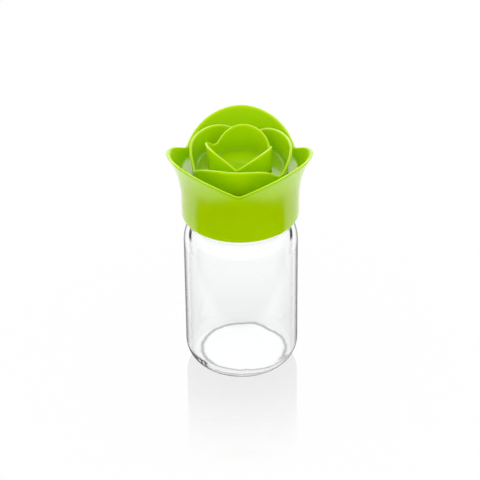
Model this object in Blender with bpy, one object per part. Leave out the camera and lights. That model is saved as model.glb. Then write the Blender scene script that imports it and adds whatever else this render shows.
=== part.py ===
"""Spice jar with a rose lid: a glass jar, a pressed-in sifter, and a screw lid of three petal rings.

Metres, +Z up. The origin is the middle of the flat base that the jar stands on.
"""

import math

import bmesh
import bpy

# Fit and clearance
FIT_GAP = 0.0003
CUT_OVERRUN = 0.0010
MERGE_DISTANCE = 0.00001

# Glass jar
JAR_RADIUS = 0.0250
JAR_WALL = 0.0020
HEEL_RADIUS = 0.0100
HEEL_WALL_SHARE = 0.65
BASE_THICKNESS = 0.0034
FLOOR_CROWN = 0.0007
SHOULDER_START_HEIGHT = 0.0620
SHOULDER_RISE = 0.0100
NECK_HEIGHT = 0.0202
NECK_RADIUS = 0.0216
NECK_WALL = 0.0026
NECK_ROOT_FILLET = 0.0015
LIP_ROUNDING = 0.0009

# Bead round the neck, just under the lid
BEAD_RADIUS = 0.0011
BEAD_ABOVE_SHOULDER = 0.0020

# Sifter insert
SIFTER_WALL = 0.0012
SIFTER_DECK_THICKNESS = 0.0012
SIFTER_DECK_RECESS = 0.0025
SIFTER_FLANGE_THICKNESS = 0.0012
SIFTER_FLANGE_INSET = 0.0004
SIFTER_PLUG_LENGTH = 0.0078
SIFTER_PLUG_LEAD = 0.0010
SIFTER_HOLE_RADIUS = 0.0016
INNER_HOLE_COUNT = 6
OUTER_HOLE_COUNT = 12
INNER_HOLE_CIRCLE_SHARE = 0.37
OUTER_HOLE_CIRCLE_SHARE = 0.73

# Sealing disc in the lid
LINER_THICKNESS = 0.0010
LINER_EDGE_PLAY = 0.0004

# Lid's skirt and top plate
THREAD_ROOM = 0.0017
SKIRT_WALL = 0.0022
SKIRT_BEAD_CLEARANCE = 0.0011
SKIRT_EDGE_ROUNDING = 0.0006
BORE_LEAD_IN = 0.0004
BORE_TOP_FILLET = 0.0008
PLATE_THICKNESS = 0.0014
UPSTAND_WALL = 0.0012

# Outer petals: how far the rim's middle lies out from the skirt, and up from the top plate
FLARE_START = 0.0056
OUTER_WALL = 0.0015
OUTER_DIP_LEAN = 0.0016
OUTER_DIP_HEIGHT = 0.0039
OUTER_PETAL_LEAN = 0.0069
OUTER_PETAL_HEIGHT = 0.0141

# Middle petals: a ring that stands a channel's width inside the outer one
OUTER_CHANNEL = 0.0033
MIDDLE_PLATE = 0.0014
MIDDLE_WALL = 0.0013
MIDDLE_DIP_LEAN = 0.0004
MIDDLE_DIP_HEIGHT = 0.0036
MIDDLE_PETAL_LEAN = 0.0009
MIDDLE_PETAL_HEIGHT = 0.0106
MIDDLE_SPIRAL = 0.0008

# Inner petal cup, a channel's width inside the middle ring
MIDDLE_CHANNEL = 0.0057
CUP_FLOOR = 0.0015
CUP_WALL = 0.0012
CUP_BASE_ROUNDING = 0.0012
CUP_DIP_LEAN = -0.0003
CUP_DIP_HEIGHT = 0.0052
CUP_PETAL_LEAN = 0.0004
CUP_PETAL_HEIGHT = 0.0115
CUP_SPIRAL = 0.0009
CUP_OVERHANG = 0.0046
SPIGOT_WALL = 0.0012

# Fillet where a petal wall meets its floor
PETAL_ROOT_FILLET = 0.0010

# Petals: three to a ring, each ring turned half a petal against the next. In the two inner rings a
# petal starts its ring's spiral outside the round and ends it inside, counter-clockwise.
PETALS_PER_RING = 3
OUTER_DIP_AZIMUTH = math.radians(-91.4)
MIDDLE_DIP_AZIMUTH = math.radians(-37.5)
CUP_DIP_AZIMUTH = math.radians(-97.9)
CREASE_SOFTNESS_SHARE = 0.05
SPIRAL_RETURN_POWER = 12

# Powers of each ring's rim as it rises, of the rim as it leans, and of the wall as it flares
OUTER_POWERS = (1.8, 1.5, 2.4)
MIDDLE_POWERS = (3.0, 3.5, 1.5)
CUP_POWERS = (2.05, 2.0, 1.5)

# Facets
TURNED_STEPS = 48
HOLE_SIDES = 14
HALF_PETAL_STEPS = 10
WALL_ROWS = 4
RIM_STEPS = 4
ARC_STEPS = 3
SHOULDER_STEPS = 5
HEEL_STEPS = 6
CREASE_CROWDING_POWER = 1.35
SHARP_ANGLE = math.radians(40.0)
HALVINGS = 40

# Finishes: name, colour, roughness and transmission
CLEAR_GLASS = ("clear_glass", (0.93, 0.96, 0.96, 1.0), 0.02, 1.0)
NATURAL_POLYETHYLENE = ("natural_polyethylene", (0.82, 0.83, 0.80, 1.0), 0.45, 0.0)
SEALING_FOAM = ("sealing_foam", (0.90, 0.90, 0.88, 1.0), 0.7, 0.0)
GREEN_POLYPROPYLENE = ("green_polypropylene", (0.33, 0.54, 0.005, 1.0), 0.18, 0.0)

# Radii that follow from the sizes above
NECK_BORE = NECK_RADIUS - NECK_WALL
SIFTER_PLUG_RADIUS = NECK_BORE - FIT_GAP
SIFTER_INNER_RADIUS = SIFTER_PLUG_RADIUS - SIFTER_WALL
SKIRT_BORE = NECK_RADIUS + THREAD_ROOM
SKIRT_RADIUS = SKIRT_BORE + SKIRT_WALL
MIDDLE_BASE_RADIUS = SKIRT_RADIUS - OUTER_WALL - OUTER_CHANNEL
CUP_BASE_RADIUS = MIDDLE_BASE_RADIUS - MIDDLE_WALL - MIDDLE_CHANNEL
UPSTAND_RADIUS = CUP_BASE_RADIUS - CUP_OVERHANG
UPSTAND_BORE = UPSTAND_RADIUS - UPSTAND_WALL
SPIGOT_RADIUS = UPSTAND_BORE - FIT_GAP

# Heights at which the pieces seat
SHOULDER_TOP = SHOULDER_START_HEIGHT + SHOULDER_RISE
BEAD_HEIGHT = SHOULDER_TOP + BEAD_ABOVE_SHOULDER
NECK_TOP = SHOULDER_TOP + NECK_HEIGHT
SIFTER_SEAT = NECK_TOP + FIT_GAP
LINER_SEAT = SIFTER_SEAT + SIFTER_FLANGE_THICKNESS + FIT_GAP
LID_BOTTOM = BEAD_HEIGHT + BEAD_RADIUS + SKIRT_BEAD_CLEARANCE
PLATE_UNDERSIDE = LINER_SEAT + LINER_THICKNESS + FIT_GAP
PLATE_TOP = PLATE_UNDERSIDE + PLATE_THICKNESS
MIDDLE_SEAT = PLATE_TOP + FIT_GAP
CUP_SEAT = MIDDLE_SEAT + MIDDLE_PLATE + FIT_GAP


def clear_scene():
    for obj in list(bpy.data.objects):
        bpy.data.objects.remove(obj)


def material(finish):
    """A Principled material in one plain colour."""
    name, colour, roughness, transmission = finish
    made = bpy.data.materials.new(name)
    made.use_nodes = True
    shader = made.node_tree.nodes["Principled BSDF"]
    shader.inputs["Base Color"].default_value = colour
    shader.inputs["Roughness"].default_value = roughness
    shader.inputs["Metallic"].default_value = 0.0
    shader.inputs["Transmission Weight"].default_value = transmission
    made.diffuse_color = colour
    return made


def add_object(name, mesh, surface, height, parent=None):
    """Puts a mesh in the scene on the jar's axis, at its own seat height."""
    obj = bpy.data.objects.new(name, mesh)
    bpy.context.scene.collection.objects.link(obj)
    mesh.materials.append(surface)
    obj.parent = parent
    obj.location.z = height - (parent.location.z if parent else 0.0)
    mesh.shade_smooth()
    mesh.set_sharp_from_angle(angle=SHARP_ANGLE)
    return obj


def arc(centre, radius, start_deg, end_deg, steps=ARC_STEPS):
    """Points of an arc in the (radius, height) half plane, both ends included."""
    points = []
    for i in range(steps + 1):
        angle = math.radians(start_deg + (end_deg - start_deg) * i / steps)
        points.append((centre[0] + radius * math.cos(angle), centre[1] + radius * math.sin(angle)))
    return points


def turned_object(name, outline, surface, height):
    """A Screw modifier turns an outline, listed down its outer side, once round the axis."""
    mesh = bpy.data.meshes.new(name)
    points = [(radius, 0.0, z) for radius, z in outline]
    edges = [(i, i + 1) for i in range(len(points) - 1)]
    if outline[0][0] > 0.0:
        edges.append((len(points) - 1, 0))
    mesh.from_pydata(points, edges, [])
    obj = add_object(name, mesh, surface, height)
    screw = obj.modifiers.new("Turn", "SCREW")
    screw.steps = TURNED_STEPS
    screw.render_steps = TURNED_STEPS
    screw.use_merge_vertices = True
    screw.merge_threshold = MERGE_DISTANCE
    screw.use_smooth_shade = True
    return obj


def shoulder(reach, rise, line_radius):
    """The shoulder's profile, from the jar's side up to a straight line of the neck.

    It is a quarter of an ellipse centred on the bore, and then the fillet: the circle that
    touches both the ellipse and the line.
    """

    def fillet_at(turn):
        """The fillet's centre, and its normal in degrees, where it touches the ellipse at turn."""
        across = rise * math.cos(turn)
        up = reach * math.sin(turn)
        share = NECK_ROOT_FILLET / math.hypot(across, up)
        radius = NECK_BORE + reach * math.cos(turn) + across * share
        height = SHOULDER_START_HEIGHT + rise * math.sin(turn) + up * share
        return (radius, height), math.degrees(math.atan2(up, across))

    low, high = 0.0, math.pi / 2
    for _ in range(HALVINGS):
        middle = (low + high) / 2
        if fillet_at(middle)[0][0] > line_radius + NECK_ROOT_FILLET:
            low = middle
        else:
            high = middle
    points = []
    for i in range(SHOULDER_STEPS + 1):
        turn = low * i / SHOULDER_STEPS
        height = SHOULDER_START_HEIGHT + rise * math.sin(turn)
        points.append((NECK_BORE + reach * math.cos(turn), height))
    centre, normal = fillet_at(low)
    return points + arc(centre, NECK_ROOT_FILLET, 180.0 + normal, 180.0)[1:]


def inner_heel_radius():
    """The inner heel's radius that leaves the heel wall between two arcs with their own centres."""
    heel_wall = JAR_WALL * HEEL_WALL_SHARE
    spare = (JAR_WALL - heel_wall) * (BASE_THICKNESS - heel_wall)
    offset = JAR_WALL + BASE_THICKNESS - heel_wall + math.sqrt(2.0 * spare)
    return max(JAR_WALL, HEEL_RADIUS - offset)


def jar_outline():
    """The glass: down the outside from the lip, across the flat base, and up the inside."""
    lip_height = NECK_TOP - LIP_ROUNDING
    outline = arc((NECK_RADIUS - LIP_ROUNDING, lip_height), LIP_ROUNDING, 90.0, 0.0)
    outline += arc((NECK_RADIUS, BEAD_HEIGHT), BEAD_RADIUS, 90.0, -90.0, RIM_STEPS)
    outline += shoulder(JAR_RADIUS - NECK_BORE, SHOULDER_RISE, NECK_RADIUS)[::-1]
    heel_centre = (JAR_RADIUS - HEEL_RADIUS, HEEL_RADIUS)
    outline += arc(heel_centre, HEEL_RADIUS, 0.0, -90.0, HEEL_STEPS)
    outline.append((0.0, 0.0))

    inner_radius = JAR_RADIUS - JAR_WALL
    inner_heel = inner_heel_radius()
    floor_radius = inner_radius - inner_heel
    outline.append((0.0, BASE_THICKNESS + FLOOR_CROWN))
    outline.append((floor_radius / 2, BASE_THICKNESS + FLOOR_CROWN * 3 / 4))
    outline += arc((floor_radius, BASE_THICKNESS + inner_heel), inner_heel, -90.0, 0.0)
    outline += shoulder(inner_radius - NECK_BORE, SHOULDER_RISE - JAR_WALL, NECK_BORE)
    outline += arc((NECK_BORE + LIP_ROUNDING, lip_height), LIP_ROUNDING, 180.0, 90.0)
    return outline


def build_jar():
    glass = material(CLEAR_GLASS)
    outline = jar_outline()
    axis_at = next(i for i, point in enumerate(outline) if point[0] == 0.0)
    # Turned from the axis to the axis: up the inside, over the lip and down the outside.
    return turned_object("glass_jar", outline[axis_at + 1:] + outline[:axis_at + 1], glass, 0.0)


def sifter_outline():
    """From the middle of the deck out over the flange, down the plug and back under the deck."""
    deck_top = SIFTER_FLANGE_THICKNESS - SIFTER_DECK_RECESS
    deck_bottom = deck_top - SIFTER_DECK_THICKNESS
    flange_radius = NECK_RADIUS - SIFTER_FLANGE_INSET
    plug_bottom = -SIFTER_PLUG_LENGTH
    return [
        (0.0, deck_top),
        (SIFTER_INNER_RADIUS, deck_top),
        (SIFTER_INNER_RADIUS, SIFTER_FLANGE_THICKNESS),
        (flange_radius, SIFTER_FLANGE_THICKNESS),
        (flange_radius, 0.0),
        (SIFTER_PLUG_RADIUS, 0.0),
        (SIFTER_PLUG_RADIUS, plug_bottom + SIFTER_PLUG_LEAD),
        (SIFTER_PLUG_RADIUS - SIFTER_WALL / 2, plug_bottom),
        (SIFTER_INNER_RADIUS, plug_bottom),
        (SIFTER_INNER_RADIUS, deck_bottom),
        (0.0, deck_bottom),
    ]


def hole_places():
    """The middle hole, then the rings of holes round it."""
    places = [(0.0, 0.0)]
    circles = (
        (SIFTER_INNER_RADIUS * INNER_HOLE_CIRCLE_SHARE, INNER_HOLE_COUNT),
        (SIFTER_INNER_RADIUS * OUTER_HOLE_CIRCLE_SHARE, OUTER_HOLE_COUNT),
    )
    for circle_radius, count in circles:
        for i in range(count):
            angle = 2.0 * math.pi * i / count
            places.append((circle_radius * math.cos(angle), circle_radius * math.sin(angle)))
    return places


def build_sifter():
    natural = material(NATURAL_POLYETHYLENE)
    sifter = turned_object("sifter_insert", sifter_outline(), natural, SIFTER_SEAT)
    shape = bmesh.new()
    length = SIFTER_DECK_THICKNESS + 2 * CUT_OVERRUN
    deck_middle = SIFTER_FLANGE_THICKNESS - SIFTER_DECK_RECESS - SIFTER_DECK_THICKNESS / 2
    for x, y in hole_places():
        made = bmesh.ops.create_cone(
            shape,
            cap_ends=True,
            segments=HOLE_SIDES,
            radius1=SIFTER_HOLE_RADIUS,
            radius2=SIFTER_HOLE_RADIUS,
            depth=length,
        )
        bmesh.ops.translate(shape, verts=made["verts"], vec=(x, y, deck_middle))
    mesh = bpy.data.meshes.new("hole_cutters")
    shape.to_mesh(mesh)
    shape.free()
    cutter = add_object("hole_cutters", mesh, natural, SIFTER_SEAT)
    cutter.hide_render = True
    cutter.display_type = "WIRE"
    cut = sifter.modifiers.new("Holes", "BOOLEAN")
    cut.operation = "DIFFERENCE"
    cut.object = cutter
    return sifter


def build_liner():
    foam = material(SEALING_FOAM)
    radius = SKIRT_BORE - LINER_EDGE_PLAY
    outline = [(0.0, LINER_THICKNESS), (radius, LINER_THICKNESS), (radius, 0.0), (0.0, 0.0)]
    return turned_object("cap_liner", outline, foam, LINER_SEAT)


def petal_share(azimuth, dip_azimuth):
    """0 in the crease between two petals, 1 at a petal's middle, with the crease a little rounded."""
    step = 2.0 * math.pi / PETALS_PER_RING
    turned = (azimuth - dip_azimuth) % step
    away = 1.0 - abs(2.0 * turned / step - 1.0)
    soft = CREASE_SOFTNESS_SHARE
    return (math.hypot(away, soft) - soft) / (math.hypot(1.0, soft) - soft)


def spiral_share(azimuth, dip_azimuth):
    """Near -1 at a petal's start, near 1 at its end, and quickly back through 0 in the crease."""
    step = 2.0 * math.pi / PETALS_PER_RING
    along = 2.0 * ((azimuth - dip_azimuth) % step) / step - 1.0
    return along * (1.0 - abs(along) ** SPIRAL_RETURN_POWER)


class PetalRing:
    """A ring of petals as one wall whose rim rises and leans out from crease to petal.

    Heights start at the piece's seat, but those of the dip and the petal at the ring's floor.
    The wall's outer radius at a height follows a power of how far up that height lies between
    the foot of the flare and the rim.
    """

    def __init__(self, foot, floor_height, dip, petal, wall, dip_azimuth, powers, spiral=0.0):
        self.foot_radius, self.foot_height = foot
        self.floor_height = floor_height
        self.dip_radius = self.foot_radius + dip[0]
        self.dip_height = floor_height + dip[1]
        self.petal_radius = self.foot_radius + petal[0]
        self.petal_height = floor_height + petal[1]
        self.wall = wall
        self.dip_azimuth = dip_azimuth
        self.arch_power, self.lean_power, self.flare_power = powers
        self.spiral = spiral

    def azimuths(self):
        """One turn, with the steps closest together beside the creases."""
        shares = [(i / HALF_PETAL_STEPS) ** CREASE_CROWDING_POWER for i in range(HALF_PETAL_STEPS + 1)]
        half = math.pi / PETALS_PER_RING
        turns = [share * half for share in shares] + [(2.0 - share) * half for share in shares[-2:0:-1]]
        angles = []
        for petal in range(PETALS_PER_RING):
            angles += [self.dip_azimuth + 2.0 * half * petal + turn for turn in turns]
        return angles

    def rim(self, azimuth):
        """The rim's radius, in the middle of the wall, and its height."""
        share = petal_share(azimuth, self.dip_azimuth)
        rise = 1.0 - (1.0 - share) ** self.arch_power
        lean = 1.0 - (1.0 - share) ** self.lean_power
        radius = self.dip_radius + (self.petal_radius - self.dip_radius) * lean
        radius -= self.spiral * spiral_share(azimuth, self.dip_azimuth)
        height = self.dip_height + (self.petal_height - self.dip_height) * rise
        return radius, height

    def outer_radius(self, azimuth, height):
        rim_radius, rim_height = self.rim(azimuth)
        up = max(0.0, (height - self.foot_height) / (rim_height - self.foot_height))
        lean = rim_radius + self.wall / 2 - self.foot_radius
        return self.foot_radius + lean * up**self.flare_power

    def wall_section(self, azimuth):
        """Up the outer face, over the rounded rim and down the inner face to the floor's fillet."""
        rim_height = self.rim(azimuth)[1]
        rim_centre = rim_height - self.wall / 2
        section = []
        for i in range(WALL_ROWS):
            height = self.foot_height + (rim_centre - self.foot_height) * i / WALL_ROWS
            section.append((self.outer_radius(azimuth, height), height))
        for i in range(RIM_STEPS + 1):
            angle = math.pi * i / RIM_STEPS
            height = rim_centre + self.wall / 2 * math.sin(angle)
            middle = self.outer_radius(azimuth, height) - self.wall / 2
            section.append((middle + self.wall / 2 * math.cos(angle), height))
        fillet = min(PETAL_ROOT_FILLET, (rim_centre - self.floor_height) / 2)
        fillet_top = self.floor_height + fillet
        for i in range(1, WALL_ROWS):
            height = rim_centre + (fillet_top - rim_centre) * i / WALL_ROWS
            section.append((self.outer_radius(azimuth, height) - self.wall, height))
        foot = self.outer_radius(azimuth, fillet_top) - self.wall
        section += arc((foot - fillet, fillet_top), fillet, 0.0, -90.0, ARC_STEPS)
        return section


def lofted_object(name, ring, section_at, surface, height, parent):
    """Joins the sections at a ring's azimuths. A section starts and ends on the axis, or is closed."""
    azimuths = ring.azimuths()
    shape = bmesh.new()
    columns, poles = [], {}
    for azimuth in azimuths:
        column = []
        for i, (radius, z) in enumerate(section_at(azimuth)):
            if radius == 0.0:
                if i not in poles:
                    poles[i] = shape.verts.new((0.0, 0.0, z))
                column.append(poles[i])
            else:
                column.append(shape.verts.new((radius * math.cos(azimuth), radius * math.sin(azimuth), z)))
        columns.append(column)
    count = len(columns[0])
    closed = 0 if poles else 1
    for a, column in enumerate(columns):
        following = columns[(a + 1) % len(columns)]
        for i in range(count - 1 + closed):
            j = (i + 1) % count
            corners = []
            for corner in (column[i], following[i], following[j], column[j]):
                if corner not in corners:
                    corners.append(corner)
            shape.faces.new(corners)
    bmesh.ops.recalc_face_normals(shape, faces=shape.faces)
    mesh = bpy.data.meshes.new(name)
    shape.to_mesh(mesh)
    shape.free()
    return add_object(name, mesh, surface, height, parent)


def build_cap(green, lid_axis):
    """The lid's shell: skirt, top plate, the upstand that takes the cup, and the outer petals."""
    plate_under = PLATE_UNDERSIDE - LID_BOTTOM
    plate_top = PLATE_TOP - LID_BOTTOM
    ring = PetalRing(
        (SKIRT_RADIUS, FLARE_START),
        plate_top,
        (OUTER_DIP_LEAN, OUTER_DIP_HEIGHT),
        (OUTER_PETAL_LEAN, OUTER_PETAL_HEIGHT),
        OUTER_WALL,
        OUTER_DIP_AZIMUTH,
        OUTER_POWERS,
    )
    upstand_top = CUP_SEAT - FIT_GAP - LID_BOTTOM
    bore_corner = (SKIRT_BORE - BORE_TOP_FILLET, plate_under - BORE_TOP_FILLET)
    edge_corner = (SKIRT_RADIUS - SKIRT_EDGE_ROUNDING, SKIRT_EDGE_ROUNDING)

    def section(azimuth):
        points = [(0.0, plate_under)]
        points += arc(bore_corner, BORE_TOP_FILLET, 90.0, 0.0)
        points += [(SKIRT_BORE, 2 * BORE_LEAD_IN), (SKIRT_BORE + BORE_LEAD_IN, 0.0)]
        points += arc(edge_corner, SKIRT_EDGE_ROUNDING, -90.0, 0.0)
        points += ring.wall_section(azimuth)
        points += [
            (UPSTAND_RADIUS, plate_top),
            (UPSTAND_RADIUS, upstand_top),
            (UPSTAND_BORE, upstand_top),
            (UPSTAND_BORE, plate_top),
            (0.0, plate_top),
        ]
        return points

    return lofted_object("petal_cap", ring, section, green, LID_BOTTOM, lid_axis)


def build_middle_petals(green, lid_axis):
    """The middle ring: a flat plate that drops over the cap's upstand, with three petals."""
    ring = PetalRing(
        (MIDDLE_BASE_RADIUS, 0.0),
        MIDDLE_PLATE,
        (MIDDLE_DIP_LEAN, MIDDLE_DIP_HEIGHT),
        (MIDDLE_PETAL_LEAN, MIDDLE_PETAL_HEIGHT),
        MIDDLE_WALL,
        MIDDLE_DIP_AZIMUTH,
        MIDDLE_POWERS,
        MIDDLE_SPIRAL,
    )
    hole_radius = UPSTAND_RADIUS + FIT_GAP

    def section(azimuth):
        wall = ring.wall_section(azimuth)
        return [(hole_radius, 0.0)] + wall + [(hole_radius, MIDDLE_PLATE)]

    return lofted_object("middle_petals", ring, section, green, MIDDLE_SEAT, lid_axis)


def build_cup(green, lid_axis):
    """The rose's centre: a cup of three petals with a spigot ring pressed into the cap's upstand."""
    ring = PetalRing(
        (CUP_BASE_RADIUS, CUP_BASE_ROUNDING),
        CUP_FLOOR,
        (CUP_DIP_LEAN, CUP_DIP_HEIGHT),
        (CUP_PETAL_LEAN, CUP_PETAL_HEIGHT),
        CUP_WALL,
        CUP_DIP_AZIMUTH,
        CUP_POWERS,
        CUP_SPIRAL,
    )
    spigot_bottom = PLATE_TOP + FIT_GAP - CUP_SEAT
    spigot_bore = SPIGOT_RADIUS - SPIGOT_WALL
    base_corner = (CUP_BASE_RADIUS - CUP_BASE_ROUNDING, CUP_BASE_ROUNDING)

    def section(azimuth):
        points = [
            (0.0, 0.0),
            (spigot_bore, 0.0),
            (spigot_bore, spigot_bottom),
            (SPIGOT_RADIUS, spigot_bottom),
            (SPIGOT_RADIUS, 0.0),
        ]
        points += arc(base_corner, CUP_BASE_ROUNDING, -90.0, 0.0)[:-1]
        points += ring.wall_section(azimuth)
        points.append((0.0, CUP_FLOOR))
        return points

    return lofted_object("inner_petal_cup", ring, section, green, CUP_SEAT, lid_axis)


def build_lid():
    green = material(GREEN_POLYPROPYLENE)
    lid_axis = bpy.data.objects.new("lid_axis", None)
    lid_axis.location.z = LID_BOTTOM
    bpy.context.scene.collection.objects.link(lid_axis)
    build_cap(green, lid_axis)
    build_middle_petals(green, lid_axis)
    build_cup(green, lid_axis)


clear_scene()
build_jar()
build_sifter()
build_liner()
build_lid()
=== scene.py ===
import bpy
import numpy as np
from mathutils import Matrix, Vector


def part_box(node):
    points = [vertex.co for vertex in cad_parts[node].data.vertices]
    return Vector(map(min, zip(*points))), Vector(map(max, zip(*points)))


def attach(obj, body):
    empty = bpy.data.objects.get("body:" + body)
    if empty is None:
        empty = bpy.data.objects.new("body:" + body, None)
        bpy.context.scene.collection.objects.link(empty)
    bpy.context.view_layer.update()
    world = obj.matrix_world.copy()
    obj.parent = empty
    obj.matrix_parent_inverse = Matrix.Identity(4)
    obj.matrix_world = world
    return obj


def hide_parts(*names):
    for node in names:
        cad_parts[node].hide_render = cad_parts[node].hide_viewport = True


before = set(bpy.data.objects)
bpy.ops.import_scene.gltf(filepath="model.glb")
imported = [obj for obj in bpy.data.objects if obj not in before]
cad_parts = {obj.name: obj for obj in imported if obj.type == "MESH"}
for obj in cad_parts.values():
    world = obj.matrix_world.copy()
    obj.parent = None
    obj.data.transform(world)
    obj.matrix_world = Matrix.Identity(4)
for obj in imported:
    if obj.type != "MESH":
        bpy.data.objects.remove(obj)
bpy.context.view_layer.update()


# Glass jar. Clear soda-lime glass, blown in a two-part mould: its outside is true, and the inner
# edge of its floor is a little uneven. The neck has a bead just below the lid's edge, and above it
# one ridge of screw thread.

jar_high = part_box("glass_jar")[1]
JAR_RADIUS = jar_high.x
NECK_TOP = jar_high.z
JAR_WALL = 0.0020
HEEL_RADIUS = 0.0100
BASE_THICKNESS = 0.0034
FLOOR_CROWN = 0.0007
SHOULDER_START = 0.0620
SHOULDER_RISE = 0.0100
NECK_RADIUS = 0.0216
NECK_BORE = 0.0190
NECK_FILLET = 0.0015
LIP_ROUNDING = 0.0009
BEAD_RADIUS = 0.0011
BEAD_HEIGHT = SHOULDER_START + SHOULDER_RISE + 0.0020

# The neck's thread: height at which it starts, turns, how far it stands out and how wide it is.
THREAD_PITCH = 0.0042
NECK_THREAD = (0.0805, 1.4, 0.0012, 0.0020)
THREAD_RUN_OUT = 0.06

# The uneven edge of the inner floor: its radius at some azimuths in degrees, the half width and
# the steps over which it is evened out, and its (waves round the jar, depth, turn in degrees).
FLOOR_EDGE_AZIMUTHS = (-165.0, -142.0, -90.0, 2.0, 22.0, 45.0, 70.0, 94.0, 116.0, 175.0)
FLOOR_EDGE_RADII = (
    0.0177, 0.0175, 0.0174, 0.0199, 0.0202, 0.0186, 0.0198, 0.0186, 0.0189, 0.0181,
)
FLOOR_EDGE_EVENING = 4.0
EVENING_STEPS = 15
FLOOR_EDGE_WAVES = ((11, 0.00008, 40.0), (19, 0.00008, 0.0), (31, 0.00006, 70.0))

# Where the glass gets painted shade, which stands in for dark refraction: the half width of the
# painted dark line along the floor's edge, the heights between which a painted dark streak shows
# under the shoulder, the middle, half width and fading in degrees of the painted dark specks on
# the heel, and the height over which streak and specks fade.
FLOOR_EDGE_SHADE_WIDTH = 0.0008
SHADE_STREAK_HEIGHTS = (0.0672, 0.0712)
SHADE_SPECKS_AZIMUTH = -156.0
SHADE_SPECKS_HALF_WIDTH = 30.0
SHADE_SPECKS_FADE = 4.0
MARK_FADE = 0.0012

ROUND_STEPS = 192
ROW_SPACING = 0.0006
HEEL_POINTS = 25
SHOULDER_POINTS = 24
SHOULDER_TRIES = 400
NECK_FILLET_POINTS = 11
BEAD_POINTS = 13
ROUNDING_POINTS = 7
INNER_WALL_POINTS = 90
INNER_HEEL_POINTS = 31
INNER_FLOOR_POINTS = 41
INNER_FLOOR_SPACING_POWER = 1.5
GLASS_CREASE = np.radians(50.0)


def arc(centre, radius, start, end, count):
    """Points of a circle in the (radius, height) half plane, between two angles in degrees."""
    turn = np.radians(np.linspace(start, end, count))
    return np.column_stack((centre[0] + radius * np.cos(turn), centre[1] + radius * np.sin(turn)))


def refined(outline, spacing=ROW_SPACING):
    """The same outline with each long straight run divided into steps of about the spacing."""
    outline = np.asarray(outline, float)
    steps = np.hypot(*np.diff(outline, axis=0).T)
    along = np.concatenate(([0.0], np.cumsum(steps)))
    parts = [
        np.linspace(low, high, max(2, int(np.ceil((high - low) / spacing)) + 1))[:-1]
        for low, high in zip(along[:-1], along[1:])
        if high > low
    ]
    wanted = np.concatenate(parts + [along[-1:]])
    return np.column_stack([np.interp(wanted, along, outline[:, axis]) for axis in (0, 1)])


def thread_ridge(azimuth, height, thread):
    """How far a right-handed screw ridge stands out of a wall.

    At turn t the ridge's middle lies at start + pitch * t. Across it the ridge is 1 - d^4, where d
    is the distance from its middle in half widths, and over its run-outs it fades in and out.
    """
    start, turns, crest, width = thread
    ridge = np.zeros(np.broadcast(azimuth, height).shape)
    for lap in range(int(np.ceil(turns)) + 1):
        turn = azimuth / (2 * np.pi) + lap
        across = np.clip(np.abs(height - start - THREAD_PITCH * turn) / (width / 2), 0, 1)
        begins = np.clip(turn / THREAD_RUN_OUT, 0, 1)
        ends = np.clip((turns - turn) / THREAD_RUN_OUT, 0, 1)
        ridge = np.maximum(ridge, crest * (1 - across**4) * begins * ends)
    return ridge


def shoulder(reach, rise, wall_radius):
    """The jar's shoulder: a quarter ellipse about the bore, then a fillet up to the neck's wall.

    The fillet's circle touches the wall, and stands off the ellipse along the ellipse's normal.
    """
    turn = np.linspace(0, np.pi / 2, SHOULDER_TRIES)
    normal = np.arctan2(reach * np.sin(turn), rise * np.cos(turn))
    centre_radius = NECK_BORE + reach * np.cos(turn) + NECK_FILLET * np.cos(normal)
    centre_height = SHOULDER_START + rise * np.sin(turn) + NECK_FILLET * np.sin(normal)
    meets = np.argmin(np.abs(centre_radius - wall_radius - NECK_FILLET))
    turn = np.linspace(0, turn[meets], SHOULDER_POINTS)
    curve = (NECK_BORE + reach * np.cos(turn), SHOULDER_START + rise * np.sin(turn))
    centre = (wall_radius + NECK_FILLET, centre_height[meets])
    start = 180 + np.degrees(normal[meets])
    fillet = arc(centre, NECK_FILLET, start, 180, NECK_FILLET_POINTS)
    return np.vstack((np.column_stack(curve), fillet[1:]))


def round_piece(name, azimuth, radius, height, crease, marks=None):
    """A closed mesh from sections in the (radius, height) half plane, one section at each azimuth.

    Point (i, j) is (radius * cos a, radius * sin a, height) at azimuth a of column j. A row on the
    axis is one vertex. Where no row lies on the axis, the last row joins the first. Faces are
    turned outwards if the volume they enclose is negative. Marks are named values for each point,
    which materials read.
    """
    rows, columns = radius.shape
    points = np.stack((radius * np.cos(azimuth), radius * np.sin(azimuth), height), axis=-1)
    points = points.reshape(-1, 3)
    on_axis = ~radius.any(axis=1)
    number = np.arange(rows * columns).reshape(rows, columns)
    number[on_axis] = number[on_axis, :1]
    following = np.roll(number, -1, axis=0)
    strips = rows - 1 if on_axis.any() else rows
    corners = (number, np.roll(number, -1, axis=1), np.roll(following, -1, axis=1), following)
    faces = np.stack([corner[:strips] for corner in corners], axis=-1).reshape(-1, 4)
    first, second, third, fourth = points[faces.T]
    volume = (first * (np.cross(second, third) + np.cross(third, fourth))).sum()
    if volume < 0:
        faces = faces[:, ::-1]
    kept, faces = np.unique(faces, return_inverse=True)
    polygons = [list(dict.fromkeys(face)) for face in faces.reshape(-1, 4).tolist()]
    mesh = bpy.data.meshes.new(name)
    mesh.from_pydata(points[kept], [], polygons)
    for mark, values in (marks or {}).items():
        stored = mesh.attributes.new(mark, "FLOAT", "POINT")
        stored.data.foreach_set("value", values.reshape(-1)[kept].astype(np.float32))
    mesh.shade_smooth()
    mesh.set_sharp_from_angle(angle=crease)
    piece = bpy.data.objects.new(name, mesh)
    bpy.context.scene.collection.objects.link(piece)
    return piece


def even_turn(steps=ROUND_STEPS):
    """Azimuths at even steps once round."""
    return np.arange(steps) * 2 * np.pi / steps


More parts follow.
